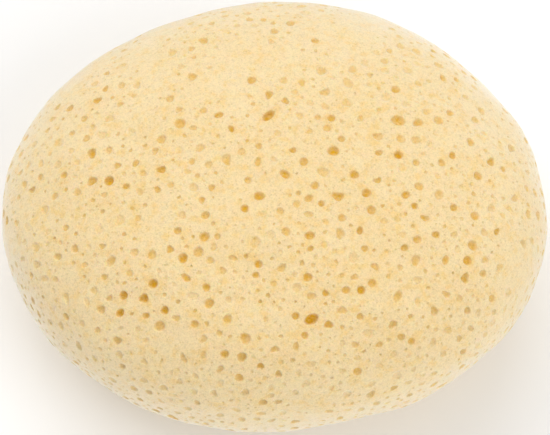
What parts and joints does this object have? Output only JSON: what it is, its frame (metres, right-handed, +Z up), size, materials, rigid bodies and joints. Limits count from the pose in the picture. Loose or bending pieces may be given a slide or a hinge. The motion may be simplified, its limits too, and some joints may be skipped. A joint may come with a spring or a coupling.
{
  "type": "bath sponge",
  "caption": "Oval pillow-shaped cream sea sponge for the bath, with round open pores all over and a small flat underside.",
  "frame": {"origin": "middle of the flat patch on the underside, under the centre of the sponge's box", "axes": "+Z up through the crown, +X along the sponge's length, +Y across its width"},
  "size_m": [0.13, 0.1068, 0.058],
  "materials": {
    "sponge": "dry, matte, fine-pored cream sponge, amber inside its pores"
  },
  "bodies": {
    "root": {"sponge": "sponge"}
  },
  "joints": []
}
